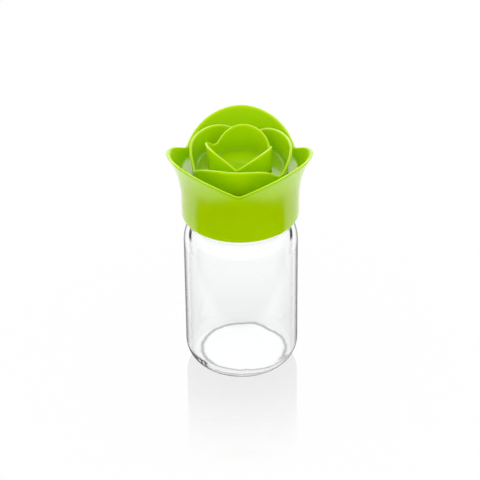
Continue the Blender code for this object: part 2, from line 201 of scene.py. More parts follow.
def glass_outside(azimuth):
    """Radius and height of the glass from the middle of its base up to the top of its lip.

    It is a flat base, a quarter circle for the heel, a straight wall, the shoulder, a half circle
    for the bead and a quarter circle for the lip. The thread's ridge is added to the radius.
    """
    lip_centre = (NECK_RADIUS - LIP_ROUNDING, NECK_TOP - LIP_ROUNDING)
    outline = np.vstack((
        [(0.0, 0.0)],
        arc((JAR_RADIUS - HEEL_RADIUS, HEEL_RADIUS), HEEL_RADIUS, -90, 0, HEEL_POINTS),
        shoulder(JAR_RADIUS - NECK_BORE, SHOULDER_RISE, NECK_RADIUS),
        [(NECK_RADIUS, BEAD_HEIGHT - BEAD_RADIUS)],
        arc((NECK_RADIUS, BEAD_HEIGHT), BEAD_RADIUS, -90, 90, BEAD_POINTS),
        arc(lip_centre, LIP_ROUNDING, 0, 90, ROUNDING_POINTS),
    ))
    radius, height = refined(outline).T[:, :, None]
    return radius + thread_ridge(azimuth, height, NECK_THREAD), height + 0 * azimuth


def floor_edge(azimuth):
    """The inner floor's radius: straight steps between the given ones, evened out, plus waves."""
    spread = np.linspace(-FLOOR_EDGE_EVENING, FLOOR_EDGE_EVENING, EVENING_STEPS)[:, None]
    near = np.degrees(azimuth) + spread
    edge = np.interp(near, FLOOR_EDGE_AZIMUTHS, FLOOR_EDGE_RADII, period=360.0).mean(axis=0)
    for waves, depth, turn in FLOOR_EDGE_WAVES:
        edge = edge + depth * np.cos(waves * azimuth - np.radians(turn))
    return edge


def glass_inside(azimuth):
    """Radius and height from the lip down the bore, wall and heel to the middle of the floor.

    The heel is a quarter circle whose radius changes with the azimuth, and the floor is a low dome.
    The third array marks the floor's edge for a painted dark line, and falls off from it as a bell
    curve on both sides.
    """
    inner_radius = JAR_RADIUS - JAR_WALL
    lip_centre = (NECK_BORE + LIP_ROUNDING, NECK_TOP - LIP_ROUNDING)
    lip = arc(lip_centre, LIP_ROUNDING, 90, 180, ROUNDING_POINTS)[1:]
    curve = shoulder(inner_radius - NECK_BORE, SHOULDER_RISE - JAR_WALL, NECK_BORE)[::-1]
    above = refined(np.vstack((lip, curve)))[:, :, None] + 0 * azimuth
    edge = floor_edge(azimuth)
    heel = inner_radius - edge
    heel_top = BASE_THICKNESS + heel
    down = np.linspace(0, 1, INNER_WALL_POINTS)[1:, None]
    wall = (inner_radius + 0 * down * azimuth, SHOULDER_START + (heel_top - SHOULDER_START) * down)
    turn = np.radians(np.linspace(0, -90, INNER_HEEL_POINTS))[1:, None]
    bend = (edge + heel * np.cos(turn), heel_top + heel * np.sin(turn))
    inward = 1 - np.linspace(0, 1, INNER_FLOOR_POINTS)[1:, None] ** INNER_FLOOR_SPACING_POWER
    floor = (edge * inward, BASE_THICKNESS + FLOOR_CROWN * (1 - inward**2) + 0 * azimuth)
    radius, height = [np.vstack(part) for part in zip(above.transpose(1, 0, 2), wall, bend, floor)]
    off_edge = np.hypot(radius - edge, height - BASE_THICKNESS)
    return radius, height, np.exp(-((off_edge / FLOOR_EDGE_SHADE_WIDTH) ** 2))


def build_jar():
    """The outside's section and the inside's as one closed surface, with marks for the glass's
    painted shade and for its inner face.
    """
    azimuth = even_turn()
    outside_radius, outside_height = glass_outside(azimuth)
    inside_radius, inside_height, edge_shade = glass_inside(azimuth)
    # The streak under the shoulder and the specks on the heel are painted shade.
    low, high = SHADE_STREAK_HEIGHTS
    shoulder_streak_shade = np.minimum(outside_height - low, high - outside_height) / MARK_FADE
    off_middle = np.abs((np.degrees(azimuth) - SHADE_SPECKS_AZIMUTH + 180) % 360 - 180)
    near_middle = np.clip((SHADE_SPECKS_HALF_WIDTH - off_middle) / SHADE_SPECKS_FADE, 0, 1)
    heel_shade_specks = near_middle * np.clip((HEEL_RADIUS - outside_height) / MARK_FADE, 0, 1)
    plain_outside, plain_inside = np.zeros_like(outside_radius), np.zeros_like(inside_radius)
    marks = {
        "floor_edge": np.vstack((plain_outside, edge_shade)),
        "shoulder_streak_shade": np.vstack((np.clip(shoulder_streak_shade, 0, 1), plain_inside)),
        "heel_shade_specks": np.vstack((heel_shade_specks, plain_inside)),
        "inner_face": np.vstack((plain_outside, plain_inside + 1)),
    }
    radius = np.vstack((outside_radius, inside_radius))
    height = np.vstack((outside_height, inside_height))
    return round_piece("jar", azimuth, radius, height, GLASS_CREASE, marks)


class Value:
    """A node's output in a finish. Its sums, differences, products and powers add Math nodes."""

    def __init__(self, finish, socket):
        self.finish = finish
        self.socket = socket

    def math(self, operation, first, second):
        """Adds a Math node."""
        return self.finish.node("ShaderNodeMath", {"operation": operation}, {0: first, 1: second})

    def __add__(self, other):
        return self.math("ADD", self, other)

    def __sub__(self, other):
        return self.math("SUBTRACT", self, other)

    def __rsub__(self, other):
        return self.math("SUBTRACT", other, self)

    def __mul__(self, other):
        return self.math("MULTIPLY", self, other)

    def __pow__(self, other):
        return self.math("POWER", self, other)

    def __rpow__(self, other):
        return self.math("POWER", other, self)

    def or_larger(self, other):
        """The larger of the two."""
        return self.math("MAXIMUM", self, other)

    __radd__ = __add__
    __rmul__ = __mul__


class Finish:
    """The nodes of a material or of the world. Each node comes from node()."""

    def __init__(self, owner):
        owner.use_nodes = True
        self.nodes = owner.node_tree.nodes
        self.links = owner.node_tree.links
        self.nodes.clear()

    def node(self, kind, settings=None, sockets=None, output=0):
        """Adds a node, applies its settings, sets or links its sockets, and gives one output."""
        made = self.nodes.new(kind)
        for name, value in (settings or {}).items():
            setattr(made, name, value)
        for name, value in (sockets or {}).items():
            if isinstance(value, Value):
                self.links.new(value.socket, made.inputs[name])
            else:
                made.inputs[name].default_value = value
        return Value(self, made.outputs[output]) if made.outputs else None

    def ramp(self, value, low, high):
        """0 below low, 1 above high, and a smooth step between them."""
        sockets = {"Value": value, "From Min": low, "From Max": high}
        return self.node("ShaderNodeMapRange", {"interpolation_type": "SMOOTHSTEP"}, sockets)

    def noise(self, place, scale, detail):
        """Soft noise from 0 to 1. One over the scale is about a blot's width in metres."""
        sockets = {"Vector": place, "Scale": scale, "Detail": detail}
        return self.node("ShaderNodeTexNoise", {}, sockets, "Fac")

    def bumps(self, height, strength, depth):
        """The normal of a surface that stands up by a share of the depth where the height is 1."""
        sockets = {"Strength": strength, "Distance": depth, "Height": height}
        return self.node("ShaderNodeBump", {}, sockets)

    def marks(self, *names):
        """The values that the mesh carries under these names."""
        kind = "ShaderNodeAttribute"
        return [self.node(kind, {"attribute_name": name}, {}, "Fac") for name in names]

    def rays(self, *names):
        """What Light Path tells of the ray that arrives, such as its kind or its depth."""
        return [self.node("ShaderNodeLightPath", output=name) for name in names]

    def colour(self, share, first, second):
        """A share of the second colour laid over the first."""
        return self.node("ShaderNodeMix", {"data_type": "RGBA"}, {0: share, 6: first, 7: second}, 2)

    def blend(self, share, first, second):
        """A share of the second shader mixed into the first."""
        return self.node("ShaderNodeMixShader", {}, {0: share, 1: first, 2: second})

    def clear_film(self, level):
        """Lets light straight through, and passes on a share of it."""
        return self.node("ShaderNodeBsdfTransparent", {}, {"Color": grey(level)})


def grey(level):
    """A neutral colour."""
    return (level, level, level, 1.0)


# The glass's finish, with painted shade that stands in for dark refraction. Facing is 0 square on
# to the surface and 1 along it. A painted darkening comes in over its pair of facings, and the
# painted streak goes out again over the pair of its end. A share says how much of the painted
# shade is mixed in.
GLASS_COLOUR = (0.985, 0.99, 0.99, 1.0)
GLASS_IOR = 1.5
# The dark glass is painted shade, mixed in where glass shows dark refraction.
GLASS_PAINTED_SHADE = (0.03, 0.03, 0.035, 1.0)
DARK_ROUGHNESS = 0.5
RIPPLE_SCALE = 70.0
RIPPLE_STRENGTH = 0.03
RIPPLE_DEPTH = 0.002
OUTLINE_FACING = (0.66, 0.90)
OUTLINE_SHARE = 0.25
OUTLINE_SHARE_TO_EYE = 0.6
SIDES_FACING = (0.30, 0.70)
SIDES_SHARE = 0.09
SHADE_STREAK_FACING = (0.445, 0.460)
SHADE_STREAK_END_FACING = (0.540, 0.555)
FLOOR_EDGE_SHADE_SHARE = 0.6
SHADE_SPECKS_FACING = (0.35, 0.50)
SHADE_SPECKS_SCALE = 600.0
SHADE_SPECKS_TURN = 0.21
SHADE_SPECKS_LEVELS = (0.37, 0.44)
SHADE_SPECKS_SHARE = 0.85
TABLE_GREY = 0.843
SHADOW_GREY = 0.97

# Ray depths: the first one counts as seen in the table, and from the fifth on the glass lets light
# by, so that its thick heel doesn't go black where the bounces end.
FIRST_BOUNCE = (1.2, 1.8)
FIFTH_BOUNCE = (4.2, 4.8)


def clear_glass():
    """Clear glass with faint ripples, darkened as glass is in a white studio.

    The darkening is painted shade: towards its outline, along the inner floor's edge, in a streak
    on either side under the shoulder and in specks at one side of the heel. Its reflection in the
    polished table is a painted plain grey.
    """
    material = bpy.data.materials.new("clear_glass")
    glass = Finish(material)
    place = glass.node("ShaderNodeTexCoord", output="Object")
    ripple = glass.noise(place, RIPPLE_SCALE, detail=1.0)
    clear = glass.node("ShaderNodeBsdfPrincipled", {}, {
        "Base Color": GLASS_COLOUR,
        "Roughness": 0.0,
        "IOR": GLASS_IOR,
        "Transmission Weight": 1.0,
        "Normal": glass.bumps(ripple, RIPPLE_STRENGTH, RIPPLE_DEPTH),
    })
    dark_sockets = {"Base Color": GLASS_PAINTED_SHADE, "Roughness": DARK_ROUGHNESS}
    dark = glass.node("ShaderNodeBsdfPrincipled", {}, dark_sockets)

    floor_edge_shade, shoulder_streak_shade, heel_shade_specks, inner_face = glass.marks(
        "floor_edge", "shoulder_streak_shade", "heel_shade_specks", "inner_face"
    )
    bounces, to_eye, glossy, through, in_shadow = glass.rays(
        "Ray Depth", "Is Camera Ray", "Is Glossy Ray", "Is Transmission Ray", "Is Shadow Ray"
    )
    facing = glass.node("ShaderNodeLayerWeight", {}, {"Blend": 0.5}, "Facing")
    outline = glass.ramp(facing, *OUTLINE_FACING) * (to_eye * OUTLINE_SHARE_TO_EYE + OUTLINE_SHARE)
    outline = outline + glass.ramp(facing, *SIDES_FACING) * SIDES_SHARE
    streak = glass.ramp(facing, *SHADE_STREAK_FACING) * (1.0 - glass.ramp(facing, *SHADE_STREAK_END_FACING))
    streak = streak * shoulder_streak_shade
    turn_sockets = {"Vector": place, "Rotation": (0.0, 0.0, SHADE_SPECKS_TURN)}
    turned = glass.node("ShaderNodeMapping", {}, turn_sockets)
    speckle = glass.ramp(glass.noise(turned, SHADE_SPECKS_SCALE, detail=1.0), *SHADE_SPECKS_LEVELS)
    specks = heel_shade_specks * glass.ramp(facing, *SHADE_SPECKS_FACING) * speckle
    # All of this darkening, from outline, sides, floor edge, streak and specks, is painted shade.
    darkening = outline + floor_edge_shade * FLOOR_EDGE_SHADE_SHARE + streak + specks * SHADE_SPECKS_SHARE
    seen = glass.blend(darkening, clear, dark)

    nothing = glass.clear_film(1.0)
    # In the table's mirror the glass shows as a painted plain grey reflection.
    in_table = glossy * (1.0 - through) * (1.0 - glass.ramp(bounces, *FIRST_BOUNCE))
    plain_grey = glass.blend(inner_face, glass.clear_film(TABLE_GREY), nothing)
    seen = glass.blend(in_table, seen, plain_grey)
    seen = glass.blend(glass.ramp(bounces, *FIFTH_BOUNCE), seen, nothing)
    whole = glass.blend(in_shadow, seen, glass.clear_film(SHADOW_GREY))
    glass.node("ShaderNodeOutputMaterial", {}, {"Surface": whole})
    return material


jar = build_jar()
jar.data.materials.append(clear_glass())
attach(jar, "jar")
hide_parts("glass_jar")


# Sifter. Natural polyethylene, moulded in one: a plug pressed into the neck, a flange that rests on
# the lip, and a deck a little below it with nineteen round holes.

sifter_low, sifter_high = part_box("sifter_insert")
FIT_GAP = 0.0003
SIFTER_WALL = 0.0012
DECK_THICKNESS = 0.0012
DECK_RECESS = 0.0025
FLANGE_THICKNESS = 0.0012
FLANGE_ROUNDING = 0.0003
PLUG_LEAD = 0.0010
PLUG_RADIUS = NECK_BORE - FIT_GAP
SIFTER_INNER_RADIUS = PLUG_RADIUS - SIFTER_WALL
PLAIN_SPACING = 0.0015
EDGE_POINTS = 5
MOULDED_CREASE = np.radians(35.0)

# The holes: one in the middle, and circles of (count, share of the inner radius).
HOLE_RADIUS = 0.0016
HOLE_CIRCLES = ((6, 0.37), (12, 0.73))
HOLE_SIDES = 32
PIN_LENGTH = 3 * DECK_THICKNESS

MILKY_COLOURS = ((0.80, 0.81, 0.78, 1.0), (0.86, 0.865, 0.84, 1.0))
MOTTLE_SCALE = 260.0
MOTTLE_LEVELS = (0.3, 0.7)
WAX_SCALE = 2400.0
WAX_STRENGTH = 0.15
SKIN_DEPTH = 0.0002
MILKY_ROUGHNESS = 0.33
MILKY_ROUGHNESS_CHANGE = 0.2
MILKY_SUBSURFACE = 0.35
MILKY_SUBSURFACE_RADIUS = (0.0020, 0.0020, 0.0018)


def turned_piece(name, outline, crease, spacing):
    """Turns an outline round the axis: its section is the same at every azimuth."""
    azimuth = even_turn()
    radius, height = refined(outline, spacing).T[:, :, None] + 0 * azimuth
    return round_piece(name, azimuth, radius, height, crease)


def sifter_outline():
    """From the deck's middle out over the flange, down the plug and back under the deck.

    Its runs are straight, with quarter circles at the flange's edges.
    """
    deck_top = sifter_high.z - DECK_RECESS
    flange_bottom = sifter_high.z - FLANGE_THICKNESS
    rim_radius = sifter_high.x - FLANGE_ROUNDING
    rim_top = sifter_high.z - FLANGE_ROUNDING
    rim_bottom = flange_bottom + FLANGE_ROUNDING
    inner_edge = (SIFTER_INNER_RADIUS + FLANGE_ROUNDING, rim_top)
    return np.vstack((
        [(0.0, deck_top), (SIFTER_INNER_RADIUS, deck_top)],
        arc(inner_edge, FLANGE_ROUNDING, 180, 90, EDGE_POINTS),
        arc((rim_radius, rim_top), FLANGE_ROUNDING, 90, 0, EDGE_POINTS),
        arc((rim_radius, rim_bottom), FLANGE_ROUNDING, 0, -90, EDGE_POINTS),
        [(PLUG_RADIUS, flange_bottom), (PLUG_RADIUS, sifter_low.z + PLUG_LEAD)],
        [(PLUG_RADIUS - SIFTER_WALL / 2, sifter_low.z), (SIFTER_INNER_RADIUS, sifter_low.z)],
        [(SIFTER_INNER_RADIUS, deck_top - DECK_THICKNESS), (0.0, deck_top - DECK_THICKNESS)],
    ))


def hole_pins(deck_middle):
    """One mesh of round pins that stand through the deck, for cutting its holes.

    Each is a rectangle turned round its own axis, and they stand at even turns on their circles.
    """
    places = [(0.0, 0.0)]
    for count, share in HOLE_CIRCLES:
        turn, reach = even_turn(count), SIFTER_INNER_RADIUS * share
        places += list(zip(reach * np.cos(turn), reach * np.sin(turn)))
    azimuth = even_turn(HOLE_SIDES)
    half = PIN_LENGTH / 2
    outline = np.array([(0.0, -half), (HOLE_RADIUS, -half), (HOLE_RADIUS, half), (0.0, half)])
    radius, height = outline.T[:, :, None] + 0 * azimuth
    pins = [round_piece("pin", azimuth, radius, height, MOULDED_CREASE) for _ in places]
    for pin, (x, y) in zip(pins, places):
        pin.location = (x, y, deck_middle)
    with bpy.context.temp_override(active_object=pins[0], selected_editable_objects=pins):
        bpy.ops.object.join()
    return pins[0]


def build_sifter():
    """The turned outline, less the pins."""
    sifter = turned_piece("sifter", sifter_outline(), MOULDED_CREASE, PLAIN_SPACING)
    pins = hole_pins(sifter_high.z - DECK_RECESS - DECK_THICKNESS / 2)
    cut = sifter.modifiers.new("Holes", "BOOLEAN")
    cut.operation = "DIFFERENCE"
    cut.object = pins
    graph = bpy.context.evaluated_depsgraph_get()
    graph.update()
    cut_mesh = bpy.data.meshes.new_from_object(sifter.evaluated_get(graph))
    sifter.modifiers.clear()
    sifter.data = cut_mesh
    cut_mesh.shade_smooth()
    cut_mesh.set_sharp_from_angle(angle=MOULDED_CREASE)
    bpy.data.objects.remove(pins)
    return sifter


def natural_polyethylene():
    """Milky, waxy plastic: light goes a little way in, and the surface is finely mottled."""
    material = bpy.data.materials.new("natural_polyethylene")
    milky = Finish(material)
    place = milky.node("ShaderNodeTexCoord", output="Object")
    mottle = milky.noise(place, MOTTLE_SCALE, detail=3.0)
    wax = milky.noise(place, WAX_SCALE, detail=2.0)
    body = milky.node("ShaderNodeBsdfPrincipled", {}, {
        "Base Color": milky.colour(milky.ramp(mottle, *MOTTLE_LEVELS), *MILKY_COLOURS),
        "Roughness": mottle * MILKY_ROUGHNESS_CHANGE + MILKY_ROUGHNESS,
        "Subsurface Weight": MILKY_SUBSURFACE,
        "Subsurface Radius": MILKY_SUBSURFACE_RADIUS,
        "Subsurface Scale": 1.0,
        "Normal": milky.bumps(wax, WAX_STRENGTH, SKIN_DEPTH),
    })
    milky.node("ShaderNodeOutputMaterial", {}, {"Surface": body})
    return material


sifter = build_sifter()
sifter.data.materials.clear()
sifter.data.materials.append(natural_polyethylene())
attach(sifter, "sifter")
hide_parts("sifter_insert")


# Sealing disc. Closed-cell foam punched from sheet, loose in the lid's top. It is pinched between
# the lid's top plate and the sifter's flange.

liner_low, liner_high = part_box("cap_liner")
DISC_EDGE_ROUNDING = 0.0002
FOAM_COLOURS = ((0.84, 0.84, 0.81, 1.0), (0.90, 0.90, 0.88, 1.0))
CLOUD_SCALE = 320.0
CLOUD_LEVELS = (0.3, 0.7)
CELL_SCALE = 2600.0
CELL_STRENGTH = 0.5
CELL_DEPTH = 0.0001
FOAM_ROUGHNESS = 0.65
FOAM_ROUGHNESS_CHANGE = 0.15


def build_liner():
    """A thin disc with a rounded edge, turned round the axis."""
    rim = liner_high.x - DISC_EDGE_ROUNDING
    top, bottom = liner_high.z - DISC_EDGE_ROUNDING, liner_low.z + DISC_EDGE_ROUNDING
    outline = np.vstack((
        [(0.0, liner_high.z)],
        arc((rim, top), DISC_EDGE_ROUNDING, 90, 0, EDGE_POINTS),
        arc((rim, bottom), DISC_EDGE_ROUNDING, 0, -90, EDGE_POINTS),
        [(0.0, liner_low.z)],
    ))
    return turned_piece("sealing_disc", outline, MOULDED_CREASE, PLAIN_SPACING)


def sealing_foam():
    """Matt white foam with the closed cells of its skin showing as fine pits."""
    material = bpy.data.materials.new("sealing_foam")
    foam = Finish(material)
    place = foam.node("ShaderNodeTexCoord", output="Object")
    cell_sockets = {"Vector": place, "Scale": CELL_SCALE}
    cells = foam.node("ShaderNodeTexVoronoi", {}, cell_sockets, "Distance")
    cloud = foam.noise(place, CLOUD_SCALE, detail=2.0)
    body = foam.node("ShaderNodeBsdfPrincipled", {}, {
        "Base Color": foam.colour(foam.ramp(cloud, *CLOUD_LEVELS), *FOAM_COLOURS),
        "Roughness": cloud * FOAM_ROUGHNESS_CHANGE + FOAM_ROUGHNESS,
        "Normal": foam.bumps(cells, CELL_STRENGTH, CELL_DEPTH),
    })
    foam.node("ShaderNodeOutputMaterial", {}, {"Surface": body})
    return material


liner = build_liner()
liner.data.materials.append(sealing_foam())
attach(liner, "liner")
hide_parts("cap_liner")


# Lid's shell. Bright green polypropylene in one moulding: the skirt with the thread inside it, the
# top plate with the ring that takes the cup, and the three large outer petals, which grow out of
# the skirt and lean outwards.

cap_low, cap_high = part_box("petal_cap")
SKIRT_RADIUS = 0.0255
SKIRT_BORE = 0.0233
EDGE_ROUNDING = 0.0006
BORE_LEAD_IN = 0.0004
BORE_FILLET = 0.0008
UPSTAND_RADIUS = 0.0091
UPSTAND_WALL = 0.0012
MIDDLE_PLATE = 0.0014
UPSTAND_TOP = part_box("middle_petals")[0].z + MIDDLE_PLATE
PLATE_UNDERSIDE = liner_high.z + FIT_GAP

# A ring of petals: the rim's (lean, height) in the crease and at the petal's middle, the powers of
# its arch, lean and flare, and the azimuth of one crease.
OUTER_WALL = 0.0015
OUTER_DIP = (0.0016, 0.0039)
OUTER_PETAL = (0.0069, 0.0141)
OUTER_POWERS = (1.8, 1.5, 2.4)
OUTER_DIP_AZIMUTH = np.radians(-91.4)
FLARE_START = 0.0056
PLATE_TOP = cap_high.z - OUTER_PETAL[1]

# The bore's thread lies half a pitch under the neck's.
BORE_THREAD = (NECK_THREAD[0] - THREAD_PITCH / 2, 1.4, 0.0012, 0.0018)

PETALS = 3
CREASE_SOFTNESS = 0.05
SPIRAL_RETURN_POWER = 12
PETAL_FILLET = 0.0018
WALL_ROWS = 40
RIM_ROWS = 13
FILLET_ROWS = 8

# The rim's tone is a painted highlight of 1 along its top, and runs to minus the shade, a painted
# shade, on the outside of the outer petals.
RIM_HIGHLIGHT_POWER = 6
RIM_SHADE_POWER = 1.5
OUTER_RIM_SHADE = 0.9

GREENS = ((0.455, 0.68, 0.0, 1.0), (0.475, 0.70, 0.0, 1.0))
# A greener floor colour, painted bounce light between the petals.
PAINTED_BOUNCE_GREEN = (0.415, 0.73, 0.0, 1.0)
# A painted highlight green along the rims' top and a painted shade green on the outer rims'
# outside.
RIM_HIGHLIGHT_GREEN = (0.56, 0.92, 0.06, 1.0)
RIM_SHADE_GREEN = (0.27, 0.52, 0.0, 1.0)
RIM_PAINT_SHARE = 0.9
FLOW_SCALE = 55.0
FLOW_LEVELS = (0.35, 0.65)
GREEN_SKIN_SCALE = 900.0
GREEN_SKIN_STRENGTH = 0.08
GREEN_ROUGHNESS = 0.17
GREEN_ROUGHNESS_CHANGE = 0.06
GREEN_IOR = 1.49
GREEN_SUBSURFACE_RADIUS = (0.0030, 0.0036, 0.0003)


def petal_turn(dip_azimuth):
    """Azimuths once round, with one exactly at each crease and at each petal's middle."""
    return dip_azimuth + even_turn()


def along_petal(azimuth, dip_azimuth):
    """Runs from -1 in the crease where a petal starts to 1 in the crease where it ends."""
    step = 2 * np.pi / PETALS
    return 2 * ((azimuth - dip_azimuth) % step) / step - 1


def petal_rim(azimuth, dip_azimuth, dip, petal, powers):
    """The rim's radius and height, from the pairs in the crease and at the petal's middle.

    The share is 0 in the crease and 1 at the petal's middle, softened by a hyperbola at the crease.
    The rim rises with 1 - (1 - share)^arch and leans out with 1 - (1 - share)^lean.
    """
    away = 1 - np.abs(along_petal(azimuth, dip_azimuth))
    soft = CREASE_SOFTNESS
    share = (np.hypot(away, soft) - soft) / (np.hypot(1, soft) - soft)
    arch, lean, _ = powers
    rise = 1 - (1 - share) ** arch
    out = 1 - (1 - share) ** lean
    return dip[0] + (petal[0] - dip[0]) * out, dip[1] + (petal[1] - dip[1]) * rise


def spiral_share(azimuth, dip_azimuth):
    """Near -1 at a petal's start, near 1 at its end, and quickly back through 0 in the crease."""
    along = along_petal(azimuth, dip_azimuth)
    return along * (1 - np.abs(along) ** SPIRAL_RETURN_POWER)


def petal_wall(azimuth, dip_azimuth, foot, floor, dip, petal, wall, powers, spiral=0.0, shade=0.0):
    """A petal wall's section at each azimuth, and tones along its rim and on the floor within it.

    It runs up the outer face from the foot, over a half-round rim, and down the inner face and its
    fillet to the floor. The outer face's radius at a height is the foot's, plus the rim's lean
    times the share of the rise to the rim, raised to the flare's power. The rim's painted light is
    a power of the sine of the turn over the rim, a painted highlight, less the shade times a power
    of its cosine on the outside, a painted shade. The floor's painted bounce light grows from 0 to
    1 down the fillet.
    """
    foot_radius, foot_height = foot
    dip = (foot_radius + dip[0], floor + dip[1])
    petal = (foot_radius + petal[0], floor + petal[1])
    rim_radius, rim_height = petal_rim(azimuth, dip_azimuth, dip, petal, powers)
    rim_radius = rim_radius - spiral * spiral_share(azimuth, dip_azimuth)
    rim_centre = rim_height - wall / 2

    def outer(height):
        """The outer face's radius at a height."""
        up = np.clip((height - foot_height) / (rim_height - foot_height), 0, None)
        return foot_radius + (rim_radius + wall / 2 - foot_radius) * up ** powers[2]

    up = np.linspace(0, 1, WALL_ROWS + 1)[:-1, None]
    outside = foot_height + (rim_centre - foot_height) * up
    over = np.radians(np.linspace(0, 180, RIM_ROWS))[:, None]
    edge = rim_centre + wall / 2 * np.sin(over)
    fillet = np.minimum(PETAL_FILLET, (rim_centre - floor) / 2)
    fillet_top = floor + fillet
    down = np.linspace(0, 1, WALL_ROWS + 1)[1:, None]
    inside = rim_centre + (fillet_top - rim_centre) * down
    bend = np.radians(np.linspace(0, -90, FILLET_ROWS + 1))[1:, None]
    inner_foot = outer(fillet_top) - wall
    radius = np.vstack((
        outer(outside),
        outer(edge) - wall / 2 + wall / 2 * np.cos(over),
        outer(inside) - wall,
        inner_foot - fillet + fillet * np.cos(bend),
    ))
    height = np.vstack((outside, edge, inside, fillet_top + fillet * np.sin(bend)))
    rim_highlight_and_shade, floor_painted_bounce = np.zeros_like(height), np.zeros_like(height)
    outward = np.clip(np.cos(over), 0, 1)
    # The rim's painted highlight along its top, less painted shade on its outside.
    tone = np.sin(over) ** RIM_HIGHLIGHT_POWER - shade * outward**RIM_SHADE_POWER
    rim_highlight_and_shade[WALL_ROWS:WALL_ROWS + RIM_ROWS] = tone
    # The floor's painted bounce light grows down the fillet.
    floor_painted_bounce[-FILLET_ROWS:] = np.linspace(0, 1, FILLET_ROWS + 1)[1:, None]
    return radius, height, rim_highlight_and_shade, floor_painted_bounce


def petal_piece(name, azimuth, before, wall, after, floor_bounce_share=1.0, thread=None):
    """Puts a plain outline before and after a petal wall's rows.

    A thread stands into the bore in the first one. The floor gets a share of its painted bounce
    light.
    """
    radius, height, rim_highlight_and_shade, floor_painted_bounce = wall
    first, last = [refined(part)[:, :, None] + 0 * azimuth for part in (before, after)]
    if thread:
        first[:, 0] -= thread_ridge(azimuth, first[:, 1], thread) * (first[:, 0] == SKIRT_BORE)
    radius = np.vstack((first[:, 0], radius, last[:, 0]))
    height = np.vstack((first[:, 1], height, last[:, 1]))
    plain_first, plain_last = np.zeros_like(first[:, 0]), np.zeros_like(last[:, 0])
    marks = {
        "rim_highlight_and_shade": np.vstack((plain_first, rim_highlight_and_shade, plain_last)),
        "floor_painted_bounce": np.vstack((plain_first, floor_painted_bounce, plain_last + 1)) * floor_bounce_share,
    }
    return round_piece(name, azimuth, radius, height, MOULDED_CREASE, marks)


def build_cap():
    """Out under the plate, down the bore, up the petals, and in over the plate and upstand.

    Its floor gets no painted bounce light, and keeps the colour of its walls.
    """
    azimuth = petal_turn(OUTER_DIP_AZIMUTH)
    foot = (SKIRT_RADIUS, cap_low.z + FLARE_START)
    shape = (OUTER_DIP, OUTER_PETAL, OUTER_WALL, OUTER_POWERS)
    wall = petal_wall(azimuth, OUTER_DIP_AZIMUTH, foot, PLATE_TOP, *shape, shade=OUTER_RIM_SHADE)
    bore_corner = (SKIRT_BORE - BORE_FILLET, PLATE_UNDERSIDE - BORE_FILLET)
    lower_edge = (SKIRT_RADIUS - EDGE_ROUNDING, cap_low.z + EDGE_ROUNDING)
    before = np.vstack((
        [(0.0, PLATE_UNDERSIDE)],
        arc(bore_corner, BORE_FILLET, 90, 0, ROUNDING_POINTS),
        [(SKIRT_BORE, cap_low.z + 2 * BORE_LEAD_IN), (SKIRT_BORE + BORE_LEAD_IN, cap_low.z)],
        arc(lower_edge, EDGE_ROUNDING, -90, 0, ROUNDING_POINTS),
    ))
    after = [
        (UPSTAND_RADIUS, PLATE_TOP),
        (UPSTAND_RADIUS, UPSTAND_TOP),
        (UPSTAND_RADIUS - UPSTAND_WALL, UPSTAND_TOP),
        (UPSTAND_RADIUS - UPSTAND_WALL, PLATE_TOP),
        (0.0, PLATE_TOP),
    ]
    return petal_piece(
        "lid_shell", azimuth, before, wall, after, floor_bounce_share=0.0, thread=BORE_THREAD
    )


def green_polypropylene():
    """Glossy dyed plastic with faint flow marks and a fine skin, which light goes a little way
    into. Its rims get a painted highlight on top and painted shade outside, and its floors painted
    bounce light.
    """
    material = bpy.data.materials.new("green_polypropylene")
    green = Finish(material)
    place = green.node("ShaderNodeTexCoord", output="Object")
    flow = green.noise(place, FLOW_SCALE, detail=2.0)
    skin = green.noise(place, GREEN_SKIN_SCALE, detail=2.0)
    rim_highlight_and_shade, floor_painted_bounce = green.marks("rim_highlight_and_shade", "floor_painted_bounce")
    colour = green.colour(green.ramp(flow, *FLOW_LEVELS), *GREENS)
    # The floors' greener colour is painted bounce light.
    colour = green.colour(floor_painted_bounce, colour, PAINTED_BOUNCE_GREEN)
    # Along the rims, a painted highlight on top and painted shade on the outer petals' outside.
    colour = green.colour(rim_highlight_and_shade * RIM_PAINT_SHARE, colour, RIM_HIGHLIGHT_GREEN)
    colour = green.colour(rim_highlight_and_shade * -RIM_PAINT_SHARE, colour, RIM_SHADE_GREEN)
    body = green.node("ShaderNodeBsdfPrincipled", {}, {
        "Base Color": colour,
        "Roughness": flow * GREEN_ROUGHNESS_CHANGE + GREEN_ROUGHNESS,
        "IOR": GREEN_IOR,
        "Subsurface Weight": 1.0,
        "Subsurface Radius": GREEN_SUBSURFACE_RADIUS,
        "Subsurface Scale": 1.0,
        "Normal": green.bumps(skin, GREEN_SKIN_STRENGTH, SKIN_DEPTH),
    })
    green.node("ShaderNodeOutputMaterial", {}, {"Surface": body})
    return material


green_plastic = green_polypropylene()
cap = build_cap()
cap.data.materials.append(green_plastic)
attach(cap, "lid")
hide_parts("petal_cap")


# Middle petals. The same green plastic: a flat ring that drops over the shell's upstand and carries
# three petals, a channel's width inside the outer ones and turned by about half a petal.

middle_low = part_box("middle_petals")[0]
OUTER_CHANNEL = 0.0033
MIDDLE_WALL = 0.0013
MIDDLE_BASE_RADIUS = SKIRT_RADIUS - OUTER_WALL - OUTER_CHANNEL
MIDDLE_DIP = (0.0004, 0.0036)
MIDDLE_PETAL = (0.0009, 0.0106)
MIDDLE_SPIRAL = 0.0008
MIDDLE_POWERS = (3.0, 3.5, 1.5)
MIDDLE_DIP_AZIMUTH = np.radians(-37.5)


